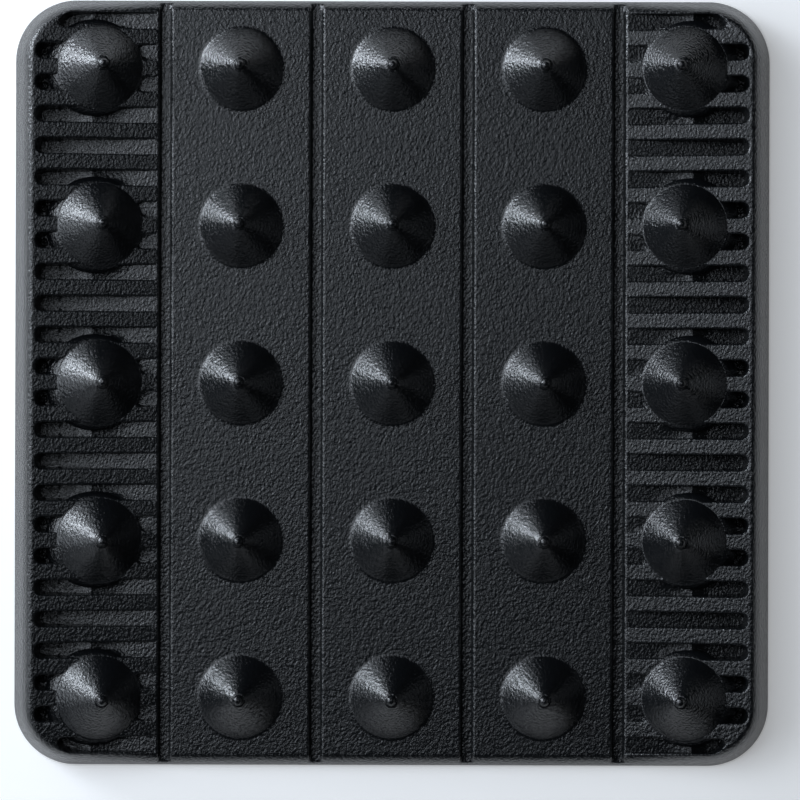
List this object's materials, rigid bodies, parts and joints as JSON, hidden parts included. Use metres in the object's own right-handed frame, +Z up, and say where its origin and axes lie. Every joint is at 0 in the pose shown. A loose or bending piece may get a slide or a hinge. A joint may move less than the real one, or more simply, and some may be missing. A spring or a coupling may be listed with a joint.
{
  "type": "snowboard stomp pad",
  "caption": "Square moulded grip mat of grooved strips with pointed studs and slotted raised outer strips, on adhesive sheet with split release liner.",
  "frame": {"origin": "bottom centre of the pad, on the underside of the release liner", "axes": "+Z up out of the grip face, +X across the strips, +Y along the strips and grooves"},
  "size_m": [0.127, 0.1288, 0.0118],
  "materials": {
    "mat_rubber": "matte, fine leather-like moulded grain",
    "stud_rubber": "satin, smoother than the mat",
    "adhesive": "dull foam tape",
    "liner": "coated release paper"
  },
  "bodies": {
    "pad": {"mat": "mat_rubber", "adhesive_sheet": "adhesive", "stud_r1_c1": "stud_rubber", "stud_r1_c2": "stud_rubber", "stud_r1_c3": "stud_rubber", "stud_r1_c4": "stud_rubber", "stud_r1_c5": "stud_rubber", "stud_r2_c1": "stud_rubber", "stud_r2_c2": "stud_rubber", "stud_r2_c3": "stud_rubber", "stud_r2_c4": "stud_rubber", "stud_r2_c5": "stud_rubber", "stud_r3_c1": "stud_rubber", "stud_r3_c2": "stud_rubber", "stud_r3_c3": "stud_rubber", "stud_r3_c4": "stud_rubber", "stud_r3_c5": "stud_rubber", "stud_r4_c1": "stud_rubber", "stud_r4_c2": "stud_rubber", "stud_r4_c3": "stud_rubber", "stud_r4_c4": "stud_rubber", "stud_r4_c5": "stud_rubber", "stud_r5_c1": "stud_rubber", "stud_r5_c2": "stud_rubber", "stud_r5_c3": "stud_rubber", "stud_r5_c4": "stud_rubber", "stud_r5_c5": "stud_rubber"},
    "liner_left": {"liner_left": "liner"},
    "liner_right": {"liner_right": "liner"}
  },
  "joints": [
    {"name": "liner_left_peel", "type": "slide", "parent": "pad", "child": "liner_left", "axis": [-1, 0, 0], "range_m": [0, 0.066]},
    {"name": "liner_right_peel", "type": "slide", "parent": "pad", "child": "liner_right", "axis": [1, 0, 0], "range_m": [0, 0.066]}
  ]
}
